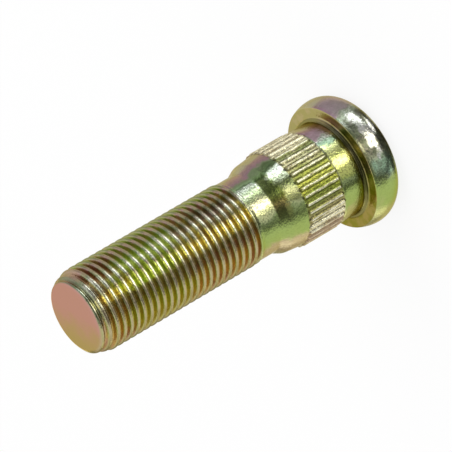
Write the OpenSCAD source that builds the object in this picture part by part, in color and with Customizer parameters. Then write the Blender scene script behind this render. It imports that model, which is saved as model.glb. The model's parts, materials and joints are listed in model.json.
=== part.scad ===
// Press-in wheel bolt: a forged and rolled stud with a round head, a ribbed press seat under it and a
// fine M16 x 1.5 thread. It stands on its head: the origin is the middle of the head's flat end face and
// +Z runs along the axis to the tip of the thread. Lengths are in millimetres.

/* [Head] */
// Height of the head, from its end face to the bearing face
head_height = 6.5; // [5.5:0.1:8]
// Diameter of the head where it bulges most
head_diameter = 25.1; // [24.5:0.1:27]
// Height at which the head bulges most
head_bulge_height = 3.7; // [3:0.1:4]
// Radius of the arc that rounds the head towards its end face
head_end_round = 4.2; // [4.05:0.05:5]
// Radius of the flatter arc that runs from the bulge up to the bearing face
head_side_round = 6.4; // [5.5:0.1:10]
// Radius of the edge between the side and the bearing face
bearing_edge_round = 0.3; // [0.1:0.05:0.4]

/* [Collar] */
// Diameter of the plain collar between the head and the ribs
collar_diameter = 18.5; // [18.3:0.05:18.8]
// Height of the collar above the bearing face
collar_height = 5; // [3:0.1:8]
// Radius of the hollow fillet where the collar meets the bearing face
collar_fillet = 0.5; // [0.2:0.05:0.8]

/* [Ribbed seat] */
// Number of ribs around the seat
rib_count = 38; // [30:1:42]
// Diameter over the crests of the ribs
rib_crest_diameter = 19; // [18.9:0.05:19.4]
// Width of a rib, which is also the diameter of its rounded crest
rib_width = 0.92; // [0.8:0.02:1]
// Length of the slope that ends each rib at the shoulder
rib_shoulder_slope = 0.5; // [0.2:0.05:1]
// Length of the slope that ends each rib at the collar
rib_collar_slope = 0.2; // [0.1:0.05:0.6]
// Height of the ribbed length
seat_height = 8.4; // [5:0.1:14]

/* [Shoulder] */
// Diameter of the plain shoulder at the ribs, and of the floor between them
shoulder_wide_diameter = 18.3; // [18.2:0.05:18.4]
// Diameter of the shoulder at its narrow end
shoulder_narrow_diameter = 17.5; // [17.2:0.05:18]
// Height of the shoulder
shoulder_height = 3.5; // [2:0.1:6]
// Height of the cone that runs down to the neck
shoulder_cone_height = 2; // [1.2:0.1:3]
// Radius of the rounded edge between the shoulder and its cone
shoulder_round = 2; // [1:0.1:4]

/* [Neck] */
// Diameter of the plain neck below the thread
neck_diameter = 15.5; // [15:0.05:15.7]
// Height of the neck
neck_height = 3.8; // [2:0.1:8]
// Radius of the hollow fillet between the neck and the cone
neck_fillet = 1; // [0.5:0.1:1.5]

/* [Thread] */
// Nominal diameter of the thread, over its crests
thread_diameter = 16; // [15.9:0.05:16.1]
// Height of the full thread
thread_height = 33; // [20:0.5:60]
// Height over which the thread runs out into the neck
thread_runout_height = 0.7; // [0.4:0.1:1.5]

/* [Tip] */
// Height of the slender cone that leads into the thread
lead_in_height = 2.2; // [1.5:0.1:3]
// Diameter at the start of the lead-in, at the tip's rounded edge
lead_in_diameter = 14.5; // [14:0.1:15]
// Radius of the tip's rounded edge
tip_round = 1; // [0.6:0.1:1.2]

/* [Hidden] */

head_r = head_diameter / 2;
collar_r = collar_diameter / 2;
rib_crest_r = rib_crest_diameter / 2;
shoulder_wide_r = shoulder_wide_diameter / 2;
shoulder_narrow_r = shoulder_narrow_diameter / 2;
neck_r = neck_diameter / 2;
thread_r = thread_diameter / 2;
lead_in_r = lead_in_diameter / 2;

// Levels up the axis, from the end face of the head to the tip
collar_top = head_height + collar_height;
seat_top = collar_top + seat_height;
shoulder_top = seat_top + shoulder_height;
cone_top = shoulder_top + shoulder_cone_height;
neck_top = cone_top + neck_height;
thread_base = neck_top + thread_runout_height;
thread_top = thread_base + thread_height;
lead_in_top = thread_top + lead_in_height;
tip_top = lead_in_top + tip_round;

rib_r = rib_width / 2;
rib_axis_r = rib_crest_r - rib_r;
arc_steps = 10;
$fn = 96;

// Points on an arc in the half section, given as [radius from the axis, level], both ends included
function arc(centre, radius, from, to) = [
    for (i = [0 : arc_steps]) let (a = from + (to - from) * i / arc_steps)
        [centre[0] + radius * cos(a), centre[1] + radius * sin(a)]
];

// The arc below the bulge starts where it meets the end face
end_arc_centre = [head_r - head_end_round, head_bulge_height];
end_arc_from = -asin(head_bulge_height / head_end_round);

// The side arc above the bulge ends where the rounded bearing edge takes over
side_arc_centre = [head_r - head_side_round, head_bulge_height];
bearing_edge_level = head_height - bearing_edge_round;
side_arc_to = asin((bearing_edge_level - head_bulge_height) / (head_side_round - bearing_edge_round));
bearing_edge_centre = [
    side_arc_centre[0] + (head_side_round - bearing_edge_round) * cos(side_arc_to),
    bearing_edge_level
];

function unit(v) = v / norm(v);

// A corner of the half section between two neighbouring points, rounded to a radius
function rounded(before, corner, after, radius) =
    let (
        to_before = unit(before - corner),
        to_after = unit(after - corner),
        half = acos(to_before * to_after) / 2,
        centre = corner + unit(to_before + to_after) * radius / sin(half),
        start = corner + to_before * radius / tan(half) - centre,
        end = corner + to_after * radius / tan(half) - centre,
        from = atan2(start[1], start[0]),
        turn = (atan2(end[1], end[0]) - from + 540) % 360 - 180
    )
    arc(centre, radius, from, from + turn);

shoulder_wide = [shoulder_wide_r, seat_top];
shoulder_narrow = [shoulder_narrow_r, shoulder_top];
neck_foot = [neck_r, cone_top];
neck_head = [neck_r, neck_top];

// Half section of the whole bolt, from the end face of the head round to the tip
module bolt_section() {
    polygon(concat(
        [[0, 0]],
        arc(end_arc_centre, head_end_round, end_arc_from, 0),
        arc(side_arc_centre, head_side_round, side_arc_to / arc_steps, side_arc_to),
        arc(bearing_edge_centre, bearing_edge_round, side_arc_to + 10, 90),
        arc([collar_r + collar_fillet, head_height + collar_fillet], collar_fillet, 270, 180),
        [
            [collar_r, collar_top],
            [shoulder_wide_r, collar_top],
            shoulder_wide
        ],
        rounded(shoulder_wide, shoulder_narrow, neck_foot, shoulder_round),
        rounded(shoulder_narrow, neck_foot, neck_head, neck_fillet),
        [
            neck_head,
            [thread_r, thread_base],
            [thread_r, thread_top]
        ],
        arc([lead_in_r - tip_round, lead_in_top], tip_round, 0, 90),
        [[0, tip_top]]
    ));
}

// Outline square to the axis of the ring of ribs: each one a half-round back, with the floor between
function rib_outline() = [
    for (i = [0 : rib_count - 1], k = [-3 : 3]) let (
        at = i * 360 / rib_count,
        out = rib_axis_r + rib_r * cos(k * 30),
        side = rib_r * sin(k * 30)
    ) [out * cos(at) - side * sin(at), out * sin(at) + side * cos(at)]
];

// The ring of ribs that bites into the hub when the bolt is pressed in; each rib slopes off at both ends
module rib_ring() {
    intersection() {
        translate([0, 0, collar_top]) linear_extrude(seat_height) polygon(rib_outline());
        rotate_extrude() polygon([
            [0, collar_top],
            [collar_r, collar_top],
            [rib_crest_r, collar_top + rib_collar_slope],
            [rib_crest_r, seat_top - rib_shoulder_slope],
            [shoulder_wide_r, seat_top],
            [0, seat_top]
        ]);
    }
}

module wheel_bolt() {
    color("#b8a04a") union() {
        rotate_extrude() bolt_section();
        rib_ring();
    }
}

wheel_bolt();
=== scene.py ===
"""Looks of the press-in wheel bolt: its rolled thread and ribs, its yellow-zinc plating, and its studio.

The bolt stands on the flat end of its head, with +Z along its axis to the tip of the thread. One turned
blank is made as a plain mesh of revolution, and two rule-driven node trees then roll the thread and the
ribs into it, as the real bolt's maker does. Lengths are in metres.
"""

from __future__ import annotations

import json
import logging
import math
from abc import ABC, abstractmethod
from collections.abc import Iterable
from dataclasses import dataclass, field
from enum import Enum
from functools import reduce

import bmesh
import bpy
import numpy as np
from mathutils import Matrix, Vector

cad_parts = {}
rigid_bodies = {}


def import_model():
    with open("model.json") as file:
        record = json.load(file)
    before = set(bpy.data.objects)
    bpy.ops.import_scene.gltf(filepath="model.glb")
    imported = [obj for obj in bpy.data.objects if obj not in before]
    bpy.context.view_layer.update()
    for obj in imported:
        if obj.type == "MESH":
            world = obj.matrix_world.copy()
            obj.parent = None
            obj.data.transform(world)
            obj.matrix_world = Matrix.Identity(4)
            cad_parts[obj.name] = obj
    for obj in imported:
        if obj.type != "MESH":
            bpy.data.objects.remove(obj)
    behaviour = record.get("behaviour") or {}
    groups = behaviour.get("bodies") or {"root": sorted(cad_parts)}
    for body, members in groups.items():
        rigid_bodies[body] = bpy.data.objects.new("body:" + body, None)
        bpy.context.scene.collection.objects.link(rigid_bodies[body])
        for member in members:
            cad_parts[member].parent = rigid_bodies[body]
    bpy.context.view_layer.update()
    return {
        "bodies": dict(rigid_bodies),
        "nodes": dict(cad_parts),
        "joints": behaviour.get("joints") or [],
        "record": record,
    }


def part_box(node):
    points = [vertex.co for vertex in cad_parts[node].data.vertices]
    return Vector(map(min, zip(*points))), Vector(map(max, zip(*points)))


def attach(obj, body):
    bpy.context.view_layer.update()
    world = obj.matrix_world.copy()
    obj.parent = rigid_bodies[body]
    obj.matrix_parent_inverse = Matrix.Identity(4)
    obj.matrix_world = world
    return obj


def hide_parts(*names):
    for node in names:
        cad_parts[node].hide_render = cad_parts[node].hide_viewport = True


MM = 0.001
LOG = logging.getLogger("wheel_bolt")

# Azimuth from which the photograph looks at the bolt, in degrees.
PHOTO_AZIMUTH = -90.94

Colour = tuple[float, float, float]
Socket = bpy.types.NodeSocket
Number = float | Socket
Tone = Colour | Socket
Ring = list[bmesh.types.BMVert]

WHITE: Colour = (1.0, 1.0, 1.0)
COOL: Colour = (0.96, 1.0, 1.0)
WARM: Colour = (1.0, 0.97, 0.84)

# The film's colours run from 0 to 1 round the bolt, so a stretch between these has an open end.
BEFORE, AFTER = -1.0, 2.0


class Side(Enum):
    """Ends of the blank that a closing fan can face."""

    BOTTOM = "bottom"
    TOP = "top"


class Blend(Enum):
    """Ways in which one colour acts on another."""

    COVER = "MIX"
    DYE = "MULTIPLY"


@dataclass(frozen=True)
class Place:
    """Where a point lies about the bolt's axis, as sockets of a node tree."""

    x: Socket
    y: Socket
    level: Socket
    radius: Socket
    angle: Socket


@dataclass(frozen=True)
class Weave:
    """Writes math and mixing nodes into a node tree, so that a rule reads as a formula."""

    tree: bpy.types.NodeTree

    def node(self, kind: str, **settings: object) -> bpy.types.Node:
        """Adds one node.

        Args:
            kind: The node's type name.
            **settings: Properties to set on it.

        Returns:
            The new node.
        """
        made = self.tree.nodes.new(kind)
        for name, value in settings.items():
            setattr(made, name, value)
        return made

    def feed(self, socket: Socket, value: object) -> None:
        """Links a socket into an input, or sets the input's own value.

        Args:
            socket: The input.
            value: Another node's output, or a plain value.
        """
        if isinstance(value, bpy.types.NodeSocket):
            self.tree.links.new(value, socket)
        else:
            socket.default_value = value

    def math(self, operation: str, *values: Number, clamp: bool = False) -> Socket:
        """Adds a math node.

        Args:
            operation: Blender's name of the operation.
            *values: One to three numbers or sockets.
            clamp: Whether the result is held between 0 and 1.

        Returns:
            The node's output.
        """
        made = self.node("ShaderNodeMath", operation=operation, use_clamp=clamp)
        for socket, value in zip(made.inputs, values):
            self.feed(socket, value)
        return made.outputs[0]

    def times(self, *factors: Number) -> Socket:
        """Multiplies two or more values."""
        return reduce(lambda first, second: self.math("MULTIPLY", first, second), factors)

    def plus(self, *terms: Number) -> Socket:
        """Adds up two or more values."""
        return reduce(lambda first, second: self.math("ADD", first, second), terms)

    def minus(self, whole: Number, part: Number) -> Socket:
        """Takes one value from another."""
        return self.math("SUBTRACT", whole, part)

    def ramp_between(self, value: Number, low: Number, high: Number) -> Socket:
        """Eases a value from 0 at one limit to 1 at another.

        Args:
            value: The number or socket to ease.
            low: Where the result is 0.
            high: Where the result is 1.

        Returns:
            The eased value's socket.
        """
        made = self.node("ShaderNodeMapRange", interpolation_type="SMOOTHSTEP")
        for socket, given in zip(made.inputs[:3], (value, low, high)):
            self.feed(socket, given)
        return made.outputs[0]

    def band(self, value: Number, low: float, high: float, soft: float) -> Socket:
        """Gives 1 where a value lies between two limits and 0 elsewhere, eased by a softness to each side."""
        rising = self.ramp_between(value, low - soft, low + soft)
        return self.times(rising, self.ramp_between(value, high + soft, high - soft))

    def mix(self, factor: Number, first: Tone, second: Tone, blend: Blend = Blend.COVER) -> Socket:
        """Mixes two colours.

        Args:
            factor: How much of the second colour is taken.
            first: The first colour or socket.
            second: The second colour or socket.
            blend: How the second colour acts on the first.

        Returns:
            The mixed colour's socket.
        """
        made = self.node("ShaderNodeMix", data_type="RGBA", blend_type=blend.value, clamp_factor=True)
        self.feed(made.inputs[0], factor)
        for socket, value in zip((made.inputs[6], made.inputs[7]), (first, second)):
            self.feed(socket, (*value, 1.0) if isinstance(value, tuple) else value)
        return made.outputs[2]

    def stops(self, factor: Number, stops: tuple[tuple[float, Colour], ...]) -> Socket:
        """Adds a colour ramp.

        Args:
            factor: The place along the ramp.
            stops: Each stop's place and its linear colour.

        Returns:
            The ramp's colour socket.
        """
        made = self.node("ShaderNodeValToRGB")
        made.color_ramp.interpolation = "EASE"
        elements = made.color_ramp.elements
        while len(elements) < len(stops):
            elements.new(1.0)
        for element, (place, colour) in zip(elements, stops):
            element.position = place
            element.color = (*colour, 1.0)
        self.feed(made.inputs[0], factor)
        return made.outputs[0]

    def noise(self, vector: Socket, size: float, detail: float = 3.0, roughness: float = 0.5) -> Socket:
        """Adds a noise texture.

        Args:
            vector: The coordinates.
            size: Length of one swell of the noise.
            detail: Number of finer octaves.
            roughness: Weight of the finer octaves.

        Returns:
            The noise's value socket.
        """
        made = self.node("ShaderNodeTexNoise")
        given = {"Vector": vector, "Scale": 1.0 / size, "Detail": detail, "Roughness": roughness}
        for name, value in given.items():
            self.feed(made.inputs[name], value)
        return made.outputs[0]

    def place(self, vector: Socket) -> Place:
        """Gives the place of each point round the bolt's axis.

        Args:
            vector: The point's coordinates.

        Returns:
            The place, with its angle in radians.
        """
        split = self.node("ShaderNodeSeparateXYZ")
        self.feed(split.inputs[0], vector)
        x, y, level = split.outputs
        radius = self.math("SQRT", self.plus(self.times(x, x), self.times(y, y)))
        return Place(x, y, level, radius, self.math("ARCTAN2", y, x))


def bare_material(name: str) -> tuple[bpy.types.Material, Weave]:
    """Makes a material with no nodes yet.

    Args:
        name: The material's name.

    Returns:
        The material and its weave.
    """
    material = bpy.data.materials.new(name)
    material.use_nodes = True
    material.node_tree.nodes.clear()
    return material, Weave(material.node_tree)


def linked_object(name: str, data: bpy.types.ID) -> bpy.types.Object:
    """Puts a mesh, lamp or camera into the scene.

    Args:
        name: The object's name.
        data: What the object holds.

    Returns:
        The object, at the origin.
    """
    made = bpy.data.objects.new(name, data)
    bpy.context.collection.objects.link(made)
    return made


@dataclass(frozen=True)
class BoltSizes:
    """Driving sizes of the bolt, as in the part's source."""

    height: float
    head_radius: float
    thread_radius: float
    thread_bottom: float
    thread_top: float
    seat_bottom: float
    seat_top: float
    rib_crest_radius: float
    head_height: float
    bulge_height: float = 3.7 * MM
    end_round: float = 4.2 * MM
    side_round: float = 6.4 * MM
    edge_round: float = 0.3 * MM
    collar_radius: float = 9.25 * MM
    collar_fillet: float = 0.5 * MM
    rim_height: float = 0.12 * MM
    rib_count: int = 38
    rib_width: float = 0.92 * MM
    shoulder_wide_radius: float = 9.15 * MM
    shoulder_narrow_radius: float = 8.75 * MM
    shoulder_height: float = 3.5 * MM
    shoulder_round: float = 2.0 * MM
    cone_height: float = 2.0 * MM
    neck_radius: float = 7.75 * MM
    neck_height: float = 3.8 * MM
    neck_fillet: float = 1.0 * MM
    tip_round: float = 1.0 * MM
    lead_in_radius: float = 7.25 * MM
    pitch: float = 1.5 * MM

    @classmethod
    def from_frame(cls, frame: dict) -> BoltSizes:
        """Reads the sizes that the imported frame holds.


        Returns:
            The bolt's sizes, with the skin's head a hair inside the part's.
        """
        inside = 0.01 * MM
        low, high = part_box("wheel_bolt")
        mounts = {mount["name"]: mount for mount in frame["record"]["mounts"]}
        thread, seat, face = (mounts[name] for name in ("thread", "press_seat", "bearing_face"))
        half_thread = thread["dims"]["length_mm"] * MM / 2
        half_seat = seat["dims"]["length_mm"] * MM / 2
        return cls(
            height=high[2] - low[2],
            head_radius=(high[0] - low[0]) / 2 - inside,
            thread_radius=thread["dims"]["r_mm"] * MM,
            thread_bottom=thread["pos_m"][2] - half_thread,
            thread_top=thread["pos_m"][2] + half_thread,
            seat_bottom=seat["pos_m"][2] - half_seat,
            seat_top=seat["pos_m"][2] + half_seat,
            rib_crest_radius=seat["dims"]["r_mm"] * MM,
            head_height=face["pos_m"][2],
        )

    @property
    def shoulder_top(self) -> float:
        """Level of the shoulder's narrow end."""
        return self.seat_top + self.shoulder_height

    @property
    def cone_top(self) -> float:
        """Level where the cone meets the neck."""
        return self.shoulder_top + self.cone_height

    @property
    def neck_top(self) -> float:
        """Level where the neck ends and the thread runs out."""
        return self.cone_top + self.neck_height


@dataclass
class Outline:
    """A half section of the blank, walked point by point as (radius, level)."""

    points: list[tuple[float, float]] = field(default_factory=list)

    def rows(self, radius: float, level: float, count: int) -> None:
        """Walks a straight stretch from the last point in a given number of rows.

        Args:
            radius: Radius of its end.
            level: Level of its end.
            count: Number of rows.
        """
        start = np.array(self.points[-1])
        end = np.array([radius, level])
        self.points += [tuple(start + (end - start) * i / count) for i in range(1, count + 1)]

    def line(self, radius: float, level: float, step: float) -> None:
        """Walks a straight stretch to a radius and level, in rows no further apart than a step."""
        length = float(np.linalg.norm(np.array([radius, level]) - np.array(self.points[-1])))
        self.rows(radius, level, max(1, math.ceil(length / step)))

    def arc(self, centre: tuple[float, float], radius: float, first: float, last: float, rows: int) -> None:
        """Walks an arc.

        Args:
            centre: Its centre as (radius, level).
            radius: Its own radius.
            first: Angle of its start in degrees.
            last: Angle of its end in degrees.
            rows: Number of rows along it.
        """
        same = 0.0001 * MM
        for i in range(rows + 1):
            angle = math.radians(first + (last - first) * i / rows)
            point = (centre[0] + radius * math.cos(angle), centre[1] + radius * math.sin(angle))
            if not self.points or math.dist(point, self.points[-1]) > same:
                self.points.append(point)

    def corner(
        self, corner: tuple[float, float], after: tuple[float, float], radius: float, rows: int, step: float
    ) -> None:
        """Walks a straight stretch to a rounded corner and round it.

        Args:
            corner: The sharp corner as (radius, level).
            after: A point on the stretch that follows.
            radius: Radius of the rounding.
            rows: Number of rows round the corner.
            step: Longest distance between two rows on the way there.
        """
        at = Vector(corner)
        back = (Vector(self.points[-1]) - at).normalized()
        ahead = (Vector(after) - at).normalized()
        half = back.angle(ahead) / 2
        centre = at + (back + ahead).normalized() * radius / math.sin(half)
        start = at + back * radius / math.tan(half) - centre
        end = at + ahead * radius / math.tan(half) - centre
        first = math.degrees(math.atan2(start.y, start.x))
        # The short way round, between -180 and 180 degrees.
        turn = (math.degrees(math.atan2(end.y, end.x)) - first + 540) % 360 - 180
        self.line(*(centre + start), step)
        self.arc(tuple(centre), radius, first, first + turn, rows)


@dataclass
class TurnedBlank:
    """The bolt before its thread and ribs are rolled: a closed mesh of revolution."""

    sizes: BoltSizes
    thread_start_turn: float
    plain_columns: int = 152
    rib_columns_each: int = 10
    rows_per_pitch: int = 15
    fine_step: float = 0.09 * MM
    coarse_step: float = 0.5 * MM
    neck_step: float = 0.4 * MM
    tip_step: float = 1.5 * MM
    rib_end: float = 0.9 * MM
    seam_gap: float = 0.1 * MM
    neck_seam: float = 0.8 * MM
    helix_lead: float = 0.5 * MM
    end_hole: float = 2.5 * MM
    tip_hole: float = 2.0 * MM
    large_round_rows: int = 14
    side_rows: int = 10
    small_round_rows: int = 6
    rim_rows: int = 4

    @property
    def thread_row(self) -> float:
        """Height of one row of the thread's mesh."""
        return self.sizes.pitch / self.rows_per_pitch

    def head(self) -> Outline:
        """Walks the head, from its flat end to the collar's fillet.

        Returns:
            The outline.
        """
        s = self.sizes
        end_centre = (s.head_radius - s.end_round, s.bulge_height)
        side_centre = (s.head_radius - s.side_round, s.bulge_height)
        edge_level = s.head_height - s.edge_round
        edge_reach = s.side_round - s.edge_round
        end_angle = -math.degrees(math.asin(s.bulge_height / s.end_round))
        side_angle = math.degrees(math.asin((edge_level - s.bulge_height) / edge_reach))
        edge_centre = (side_centre[0] + edge_reach * math.cos(math.radians(side_angle)), edge_level)
        flat_radius = end_centre[0] + s.end_round * math.cos(math.radians(end_angle))
        rim_radius = s.collar_radius + s.collar_fillet
        fillet_centre = (rim_radius, s.head_height + s.rim_height + s.collar_fillet)
        outline = Outline([(self.end_hole, 0.0)])
        outline.line(flat_radius, 0.0, self.end_hole)
        outline.arc(end_centre, s.end_round, end_angle, 0, self.large_round_rows)
        outline.arc(side_centre, s.side_round, 0, side_angle, self.side_rows)
        outline.arc(edge_centre, s.edge_round, side_angle, 90, self.small_round_rows)
        outline.line(rim_radius + s.rim_height, s.head_height, self.coarse_step)
        outline.arc((rim_radius, s.head_height), s.rim_height, 0, 90, self.rim_rows)
        outline.arc(fillet_centre, s.collar_fillet, 270, 180, self.small_round_rows)
        return outline

    def seat(self) -> Outline:
        """Walks the collar, the floor of the ribbed seat, the shoulder and the foot of the neck.

        Returns:
            The outline.
        """
        s, fine, coarse = self.sizes, self.fine_step, self.coarse_step
        foot = s.head_height + s.rim_height + s.collar_fillet + self.seam_gap
        outline = Outline([(s.collar_radius, foot)])
        outline.line(s.collar_radius, s.seat_bottom - fine, coarse)
        for level, step in (
            (s.seat_bottom, fine),
            (s.seat_bottom + self.rib_end, fine),
            (s.seat_top - self.rib_end, coarse),
            (s.seat_top, fine),
        ):
            outline.line(s.shoulder_wide_radius, level, step)
        shoulder, cone = (s.shoulder_narrow_radius, s.shoulder_top), (s.neck_radius, s.cone_top)
        neck = (s.neck_radius, s.neck_top)
        outline.corner(shoulder, cone, s.shoulder_round, self.small_round_rows, coarse)
        outline.corner(cone, neck, s.neck_fillet, self.small_round_rows, coarse)
        outline.line(s.neck_radius, s.cone_top + self.neck_seam, coarse)
        return outline

    def shank(self) -> Outline:
        """Walks the neck, the thread's full diameter, its lead-in and the tip.

        Returns:
            The outline.
        """
        s = self.sizes
        lead_in_top = s.height - s.tip_round
        outline = Outline([(s.neck_radius, s.cone_top + self.neck_seam + self.seam_gap)])
        outline.line(s.neck_radius, s.neck_top, self.neck_step)
        for radius, level in (
            (s.thread_radius, s.thread_bottom),
            (s.thread_radius, s.thread_top),
            (s.lead_in_radius, lead_in_top),
        ):
            outline.rows(radius, level, round((level - outline.points[-1][1]) / self.thread_row))
        centre = (s.lead_in_radius - s.tip_round, lead_in_top)
        outline.arc(centre, s.tip_round, 0, 90, self.large_round_rows)
        outline.line(self.tip_hole, s.height, self.tip_step)
        return outline

    def rings(self, mesh: bmesh.types.BMesh, outline: Outline, columns: int) -> list[Ring]:
        """Turns an outline round the axis.

        Args:
            mesh: The mesh to add to.
            outline: The half section.
            columns: Number of points round each ring.

        Returns:
            The rings of points, from the lowest to the highest.
        """
        angles = [2 * math.pi * i / columns for i in range(columns)]
        rings = [
            [mesh.verts.new((radius * math.cos(a), radius * math.sin(a), level)) for a in angles]
            for radius, level in outline.points
        ]
        for lower, upper in zip(rings, rings[1:]):
            for i in range(columns):
                j = (i + 1) % columns
                mesh.faces.new((lower[i], lower[j], upper[j]))
                mesh.faces.new((lower[i], upper[j], upper[i]))
        return rings

    def follow_helix(self, rings: list[Ring], outline: Outline) -> None:
        """Slides the thread's rows by less than one row, so that they lie along the helix.

        Args:
            rings: The shank's rings of points.
            outline: The half section that they were turned from.
        """
        s, row = self.sizes, self.thread_row
        first, last = s.thread_bottom - self.helix_lead, s.height - s.tip_round - row / 2
        radii, levels = (np.array(values) for values in zip(*outline.points))
        for ring, level in zip(rings, levels):
            if not first < level < last:
                continue
            for point in ring:
                turn = math.atan2(point.co.y, point.co.x) / (2 * math.pi)
                slide = (s.pitch * (turn - self.thread_start_turn) + row / 2) % row - row / 2
                radius = float(np.interp(level + slide, levels, radii))
                angle = 2 * math.pi * turn
                point.co = (radius * math.cos(angle), radius * math.sin(angle), level + slide)

    def stitch(self, mesh: bmesh.types.BMesh, lower: Ring, upper: Ring) -> None:
        """Joins two rings that differ in their number of points.

        Args:
            mesh: The mesh to add to.
            lower: The lower ring.
            upper: The upper ring.
        """
        low, high = 0, 0
        while low < len(lower) or high < len(upper):
            here, there = lower[low % len(lower)], upper[high % len(upper)]
            if high * len(lower) >= low * len(upper) and low < len(lower):
                low += 1
                mesh.faces.new((here, lower[low % len(lower)], there))
            else:
                high += 1
                mesh.faces.new((here, upper[high % len(upper)], there))

    def cap(self, mesh: bmesh.types.BMesh, ring: Ring, side: Side) -> None:
        """Closes an end with a fan.

        Args:
            mesh: The mesh to add to.
            ring: The innermost ring.
            side: The end that the fan closes.
        """
        centre = mesh.verts.new((0.0, 0.0, ring[0].co.z))
        for i, point in enumerate(ring):
            after = ring[(i + 1) % len(ring)]
            pair = (after, point) if side is Side.BOTTOM else (point, after)
            mesh.faces.new((*pair, centre))

    def build(self) -> bpy.types.Object:
        """Makes the blank.

        Returns:
            The blank as an object at the origin.
        """
        mesh = bmesh.new()
        head = self.rings(mesh, self.head(), self.plain_columns)
        seat = self.rings(mesh, self.seat(), self.rib_columns_each * self.sizes.rib_count)
        shank_outline = self.shank()
        shank = self.rings(mesh, shank_outline, self.plain_columns)
        self.follow_helix(shank, shank_outline)
        self.stitch(mesh, head[-1], seat[0])
        self.stitch(mesh, seat[-1], shank[0])
        self.cap(mesh, head[0], Side.BOTTOM)
        self.cap(mesh, shank[-1], Side.TOP)
        bmesh.ops.recalc_face_normals(mesh, faces=mesh.faces)
        for face in mesh.faces:
            face.smooth = True
        data = bpy.data.meshes.new("bolt_skin")
        mesh.to_mesh(data)
        mesh.free()
        return linked_object("bolt_skin", data)


@dataclass
class RollingTool(ABC):
    """A node tree that rolls a form into the blank and keeps its depth as an attribute of the points."""

    name: str
    attribute: str
    inputs: dict[str, float]
    sockets: dict[str, str] = field(default_factory=dict)

    def start(self) -> tuple[Weave, dict[str, Socket]]:
        """Starts the tree with its named inputs.

        Returns:
            The tree's weave and its input sockets by name.
        """
        tree = bpy.data.node_groups.new(self.name, "GeometryNodeTree")
        for direction in ("INPUT", "OUTPUT"):
            tree.interface.new_socket("Geometry", in_out=direction, socket_type="NodeSocketGeometry")
        kinds = {name: "NodeSocketFloat" for name in self.inputs} | {"Finish": "NodeSocketMaterial"}
        for name, kind in kinds.items():
            made = tree.interface.new_socket(name, in_out="INPUT", socket_type=kind)
            self.sockets[name] = made.identifier
        weave = Weave(tree)
        group = weave.node("NodeGroupInput")
        return weave, {socket.name: socket for socket in group.outputs if socket.name}

    @abstractmethod
    def rule(self, weave: Weave, given: dict[str, Socket], place: Place) -> tuple[Socket, Socket]:
        """Gives each point's new radius and the depth of the form there.

        Args:
            weave: The tree's weave.
            given: The tree's input sockets by name.
            place: Where the point lies.

        Returns:
            The sockets of the new radius and of the depth from 0 to 1.
        """

    def tree(self) -> bpy.types.NodeTree:
        """Makes the whole tree.

        Returns:
            The node tree.
        """
        axis_guard = 1e-6
        weave, given = self.start()
        place = weave.place(weave.node("GeometryNodeInputPosition").outputs[0])
        new_radius, depth = self.rule(weave, given, place)
        scale = weave.math("DIVIDE", new_radius, weave.math("MAXIMUM", place.radius, axis_guard))
        joined = weave.node("ShaderNodeCombineXYZ")
        kept = weave.node("GeometryNodeStoreNamedAttribute", data_type="FLOAT", domain="POINT")
        moved = weave.node("GeometryNodeSetPosition")
        real = weave.node("GeometryNodeRealizeInstances")
        dressed = weave.node("GeometryNodeSetMaterial")
        for socket, value in (
            (joined.inputs[0], weave.times(place.x, scale)),
            (joined.inputs[1], weave.times(place.y, scale)),
            (joined.inputs[2], place.level),
            (kept.inputs["Geometry"], given["Geometry"]),
            (kept.inputs["Name"], self.attribute),
            (kept.inputs["Value"], depth),
            (moved.inputs["Geometry"], kept.outputs[0]),
            (moved.inputs["Position"], joined.outputs[0]),
            (real.inputs[0], moved.outputs[0]),
            (dressed.inputs["Geometry"], real.outputs[0]),
            (dressed.inputs["Material"], given["Finish"]),
            (weave.node("NodeGroupOutput").inputs[0], dressed.outputs[0]),
        ):
            weave.feed(socket, value)
        return weave.tree

    def roll(self, piece: bpy.types.Object, finish: bpy.types.Material) -> None:
        """Rolls the form into a piece and turns the result into its plain mesh.

        Args:
            piece: The piece to roll.
            finish: The material that the tree sets.
        """
        modifier = piece.modifiers.new(self.name, "NODES")
        modifier.node_group = self.tree()
        for name, value in self.inputs.items():
            modifier[self.sockets[name]] = value
        modifier[self.sockets["Finish"]] = finish
        piece.update_tag()
        graph = bpy.context.evaluated_depsgraph_get()
        graph.update()
        made = bpy.data.meshes.new_from_object(piece.evaluated_get(graph))
        piece.modifiers.remove(modifier)
        piece.data = made
        LOG.info("%s: %d faces", self.name, len(made.polygons))


class ThreadTool(RollingTool):
    """Rolls a right-hand thread whose groove fades in at the tip and out at the neck."""

    def rule(self, weave: Weave, given: dict[str, Socket], place: Place) -> tuple[Socket, Socket]:
        """Cuts each point down to the thread's section at its place along the helix.

        Args:
            weave: The tree's weave.
            given: The tree's input sockets by name.
            place: Where the point lies.

        Returns:
            The sockets of the new radius and of the groove's depth from 0 to 1.
        """
        level, bottom, end_part = place.level, given["Bottom"], 0.7
        turn = weave.math("DIVIDE", place.angle, 2 * math.pi)
        risen = weave.math("DIVIDE", weave.minus(level, bottom), given["Pitch"])
        helix = weave.plus(weave.minus(risen, turn), given["Start turn"])
        off_crest = weave.math("ABSOLUTE", weave.minus(weave.math("FRACT", helix), 0.5))
        flank = weave.ramp_between(weave.times(off_crest, 2.0), given["Root part"], given["Crest part"])
        fade_out = weave.ramp_between(level, weave.minus(bottom, given["Run-out"]), bottom)
        above = weave.math("DIVIDE", weave.minus(level, given["Top"]), given["Run-in"], clamp=True)
        fade_in = weave.math("SUBTRACT", 1.0, weave.math("POWER", above, given["Run-in curve"]), clamp=True)
        on_side = weave.math("GREATER_THAN", place.radius, weave.times(given["Radius"], end_part))
        groove = weave.times(weave.minus(1.0, flank), fade_out, fade_in, on_side)
        return weave.minus(place.radius, weave.times(groove, given["Depth"])), groove


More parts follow.
